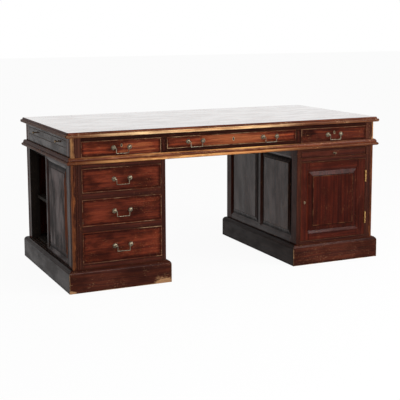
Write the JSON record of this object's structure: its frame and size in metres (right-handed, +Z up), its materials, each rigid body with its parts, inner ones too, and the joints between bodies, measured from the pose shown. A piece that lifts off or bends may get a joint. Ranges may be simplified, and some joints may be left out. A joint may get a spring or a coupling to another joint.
{
  "type": "partners desk",
  "caption": "Pedestal partners desk with frieze drawers, pull-out slides, drawer and cupboard pedestals used from both faces, and sliding doors at the ends.",
  "frame": {"origin": "on the floor under the middle of the desk", "axes": "+X along the length, from the drawer pedestal to the cupboard pedestal of the front face; -Y towards the front user; +Z up"},
  "size_m": [1.778, 0.874, 0.78],
  "materials": {
    "mahogany": "dark red-brown french-polished mahogany with worn, rubbed edges",
    "carcase_wood": "plain unpolished carcase boards",
    "brass": "aged brass, dulled in the hollows"
  },
  "bodies": {
    "carcase": {"desk_top": "mahogany", "frieze_corner_posts": "mahogany", "frieze_face_frames": "mahogany", "frieze_end_frames": "mahogany", "frieze_carcase": "carcase_wood", "waist_moulding": "mahogany", "pedestal_corner_posts": "mahogany", "kneehole_side_frames": "mahogany", "pedestal_face_rails": "mahogany", "pedestal_carcase": "carcase_wood", "cupboard_shelves": "carcase_wood", "sliding_door_tracks": "carcase_wood", "plinths": "mahogany", "cupboard_door_hinges": "brass"},
    "front_left_frieze_drawer": {"front_left_frieze_drawer": "mahogany", "front_left_frieze_drawer_mounts": "brass"},
    "rear_left_frieze_drawer": {"rear_left_frieze_drawer": "mahogany"},
    "front_left_frieze_handle": {"front_left_frieze_handle": "brass"},
    "rear_left_frieze_handle": {"rear_left_frieze_handle": "brass"},
    "front_centre_frieze_drawer": {"front_centre_frieze_drawer": "mahogany", "front_centre_frieze_drawer_mounts": "brass"},
    "rear_centre_frieze_drawer": {"rear_centre_frieze_drawer": "mahogany"},
    "front_centre_left_handle": {"front_centre_left_handle": "brass"},
    "rear_centre_left_handle": {"rear_centre_left_handle": "brass"},
    "front_centre_right_handle": {"front_centre_right_handle": "brass"},
    "rear_centre_right_handle": {"rear_centre_right_handle": "brass"},
    "front_right_frieze_drawer": {"front_right_frieze_drawer": "mahogany", "front_right_frieze_drawer_mounts": "brass"},
    "rear_right_frieze_drawer": {"rear_right_frieze_drawer": "mahogany"},
    "front_right_frieze_handle": {"front_right_frieze_handle": "brass"},
    "rear_right_frieze_handle": {"rear_right_frieze_handle": "brass"},
    "front_top_pedestal_drawer": {"front_top_pedestal_drawer": "mahogany", "front_top_pedestal_drawer_mounts": "brass"},
    "rear_top_pedestal_drawer": {"rear_top_pedestal_drawer": "mahogany"},
    "front_top_pedestal_handle": {"front_top_pedestal_handle": "brass"},
    "rear_top_pedestal_handle": {"rear_top_pedestal_handle": "brass"},
    "front_middle_pedestal_drawer": {"front_middle_pedestal_drawer": "mahogany", "front_middle_pedestal_drawer_mounts": "brass"},
    "rear_middle_pedestal_drawer": {"rear_middle_pedestal_drawer": "mahogany"},
    "front_middle_pedestal_handle": {"front_middle_pedestal_handle": "brass"},
    "rear_middle_pedestal_handle": {"rear_middle_pedestal_handle": "brass"},
    "front_bottom_pedestal_drawer": {"front_bottom_pedestal_drawer": "mahogany", "front_bottom_pedestal_drawer_mounts": "brass"},
    "rear_bottom_pedestal_drawer": {"rear_bottom_pedestal_drawer": "mahogany"},
    "front_bottom_pedestal_handle": {"front_bottom_pedestal_handle": "brass"},
    "rear_bottom_pedestal_handle": {"rear_bottom_pedestal_handle": "brass"},
    "front_brushing_slide": {"front_brushing_slide": "mahogany", "front_brushing_slide_knob": "brass"},
    "rear_brushing_slide": {"rear_brushing_slide": "mahogany"},
    "front_cupboard_door": {"front_cupboard_door": "mahogany", "front_cupboard_door_brass": "brass"},
    "rear_cupboard_door": {"rear_cupboard_door": "mahogany", "rear_cupboard_door_brass": "brass"},
    "left_end_slide": {"left_end_slide": "mahogany", "left_end_slide_knobs": "brass"},
    "right_end_slide": {"right_end_slide": "mahogany"},
    "left_outer_sliding_door": {"left_outer_sliding_door": "mahogany"},
    "right_outer_sliding_door": {"right_outer_sliding_door": "mahogany"},
    "left_inner_sliding_door": {"left_inner_sliding_door": "mahogany"},
    "right_inner_sliding_door": {"right_inner_sliding_door": "mahogany"}
  },
  "joints": [
    {"name": "front_left_frieze_drawer_slide", "type": "slide", "parent": "carcase", "child": "front_left_frieze_drawer", "axis": [0, -1, 0], "range_m": [0, 0.3]},
    {"name": "rear_left_frieze_drawer_slide", "type": "slide", "parent": "carcase", "child": "rear_left_frieze_drawer", "axis": [0, 1, 0], "range_m": [0, 0.3]},
    {"name": "front_left_frieze_handle_swing", "type": "hinge", "parent": "front_left_frieze_drawer", "child": "front_left_frieze_handle", "pos_m": [-0.6055, -0.4318, 0.697], "axis": [-1, 0, 0], "range_deg": [0, 85]},
    {"name": "rear_left_frieze_handle_swing", "type": "hinge", "parent": "rear_left_frieze_drawer", "child": "rear_left_frieze_handle", "pos_m": [0.6055, 0.4318, 0.697], "axis": [1, 0, 0], "range_deg": [0, 85]},
    {"name": "front_centre_frieze_drawer_slide", "type": "slide", "parent": "carcase", "child": "front_centre_frieze_drawer", "axis": [0, -1, 0], "range_m": [0, 0.3]},
    {"name": "rear_centre_frieze_drawer_slide", "type": "slide", "parent": "carcase", "child": "rear_centre_frieze_drawer", "axis": [0, 1, 0], "range_m": [0, 0.3]},
    {"name": "front_centre_left_handle_swing", "type": "hinge", "parent": "front_centre_frieze_drawer", "child": "front_centre_left_handle", "pos_m": [-0.212, -0.4318, 0.7055], "axis": [-1, 0, 0], "range_deg": [0, 85]},
    {"name": "rear_centre_left_handle_swing", "type": "hinge", "parent": "rear_centre_frieze_drawer", "child": "rear_centre_left_handle", "pos_m": [0.212, 0.4318, 0.7055], "axis": [1, 0, 0], "range_deg": [0, 85]},
    {"name": "front_centre_right_handle_swing", "type": "hinge", "parent": "front_centre_frieze_drawer", "child": "front_centre_right_handle", "pos_m": [0.212, -0.4318, 0.7055], "axis": [-1, 0, 0], "range_deg": [0, 85]},
    {"name": "rear_centre_right_handle_swing", "type": "hinge", "parent": "rear_centre_frieze_drawer", "child": "rear_centre_right_handle", "pos_m": [-0.212, 0.4318, 0.7055], "axis": [1, 0, 0], "range_deg": [0, 85]},
    {"name": "front_right_frieze_drawer_slide", "type": "slide", "parent": "carcase", "child": "front_right_frieze_drawer", "axis": [0, -1, 0], "range_m": [0, 0.3]},
    {"name": "rear_right_frieze_drawer_slide", "type": "slide", "parent": "carcase", "child": "rear_right_frieze_drawer", "axis": [0, 1, 0], "range_m": [0, 0.3]},
    {"name": "front_right_frieze_handle_swing", "type": "hinge", "parent": "front_right_frieze_drawer", "child": "front_right_frieze_handle", "pos_m": [0.6055, -0.4318, 0.697], "axis": [-1, 0, 0], "range_deg": [0, 85]},
    {"name": "rear_right_frieze_handle_swing", "type": "hinge", "parent": "rear_right_frieze_drawer", "child": "rear_right_frieze_handle", "pos_m": [-0.6055, 0.4318, 0.697], "axis": [1, 0, 0], "range_deg": [0, 85]},
    {"name": "front_top_pedestal_drawer_slide", "type": "slide", "parent": "carcase", "child": "front_top_pedestal_drawer", "axis": [0, -1, 0], "range_m": [0, 0.3]},
    {"name": "rear_top_pedestal_drawer_slide", "type": "slide", "parent": "carcase", "child": "rear_top_pedestal_drawer", "axis": [0, 1, 0], "range_m": [0, 0.3]},
    {"name": "front_top_pedestal_handle_swing", "type": "hinge", "parent": "front_top_pedestal_drawer", "child": "front_top_pedestal_handle", "pos_m": [-0.6055, -0.4318, 0.545], "axis": [-1, 0, 0], "range_deg": [0, 85]},
    {"name": "rear_top_pedestal_handle_swing", "type": "hinge", "parent": "rear_top_pedestal_drawer", "child": "rear_top_pedestal_handle", "pos_m": [0.6055, 0.4318, 0.545], "axis": [1, 0, 0], "range_deg": [0, 85]},
    {"name": "front_middle_pedestal_drawer_slide", "type": "slide", "parent": "carcase", "child": "front_middle_pedestal_drawer", "axis": [0, -1, 0], "range_m": [0, 0.3]},
    {"name": "rear_middle_pedestal_drawer_slide", "type": "slide", "parent": "carcase", "child": "rear_middle_pedestal_drawer", "axis": [0, 1, 0], "range_m": [0, 0.3]},
    {"name": "front_middle_pedestal_handle_swing", "type": "hinge", "parent": "front_middle_pedestal_drawer", "child": "front_middle_pedestal_handle", "pos_m": [-0.6055, -0.4318, 0.3875], "axis": [-1, 0, 0], "range_deg": [0, 85]},
    {"name": "rear_middle_pedestal_handle_swing", "type": "hinge", "parent": "rear_middle_pedestal_drawer", "child": "rear_middle_pedestal_handle", "pos_m": [0.6055, 0.4318, 0.3875], "axis": [1, 0, 0], "range_deg": [0, 85]},
    {"name": "front_bottom_pedestal_drawer_slide", "type": "slide", "parent": "carcase", "child": "front_bottom_pedestal_drawer", "axis": [0, -1, 0], "range_m": [0, 0.3]},
    {"name": "rear_bottom_pedestal_drawer_slide", "type": "slide", "parent": "carcase", "child": "rear_bottom_pedestal_drawer", "axis": [0, 1, 0], "range_m": [0, 0.3]},
    {"name": "front_bottom_pedestal_handle_swing", "type": "hinge", "parent": "front_bottom_pedestal_drawer", "child": "front_bottom_pedestal_handle", "pos_m": [-0.6055, -0.4318, 0.215], "axis": [-1, 0, 0], "range_deg": [0, 85]},
    {"name": "rear_bottom_pedestal_handle_swing", "type": "hinge", "parent": "rear_bottom_pedestal_drawer", "child": "rear_bottom_pedestal_handle", "pos_m": [0.6055, 0.4318, 0.215], "axis": [1, 0, 0], "range_deg": [0, 85]},
    {"name": "front_brushing_slide_travel", "type": "slide", "parent": "carcase", "child": "front_brushing_slide", "axis": [0, -1, 0], "range_m": [0, 0.28]},
    {"name": "rear_brushing_slide_travel", "type": "slide", "parent": "carcase", "child": "rear_brushing_slide", "axis": [0, 1, 0], "range_m": [0, 0.28]},
    {"name": "front_cupboard_door_swing", "type": "hinge", "parent": "carcase", "child": "front_cupboard_door", "pos_m": [0.8106, -0.4213, 0.341], "axis": [0, 0, 1], "range_deg": [0, 110]},
    {"name": "rear_cupboard_door_swing", "type": "hinge", "parent": "carcase", "child": "rear_cupboard_door", "pos_m": [-0.8106, 0.4213, 0.341], "axis": [0, 0, 1], "range_deg": [0, 110]},
    {"name": "left_end_slide_travel", "type": "slide", "parent": "carcase", "child": "left_end_slide", "axis": [-1, 0, 0], "range_m": [0, 0.3]},
    {"name": "right_end_slide_travel", "type": "slide", "parent": "carcase", "child": "right_end_slide", "axis": [1, 0, 0], "range_m": [0, 0.3]},
    {"name": "left_outer_sliding_door_travel", "type": "slide", "parent": "carcase", "child": "left_outer_sliding_door", "axis": [0, 1, 0], "range_m": [0, 0.306]},
    {"name": "right_outer_sliding_door_travel", "type": "slide", "parent": "carcase", "child": "right_outer_sliding_door", "axis": [0, -1, 0], "range_m": [0, 0.306]},
    {"name": "left_inner_sliding_door_travel", "type": "slide", "parent": "carcase", "child": "left_inner_sliding_door", "axis": [0, 1, 0], "range_m": [0, 0.306]},
    {"name": "right_inner_sliding_door_travel", "type": "slide", "parent": "carcase", "child": "right_inner_sliding_door", "axis": [0, -1, 0], "range_m": [0, 0.306]}
  ]
}
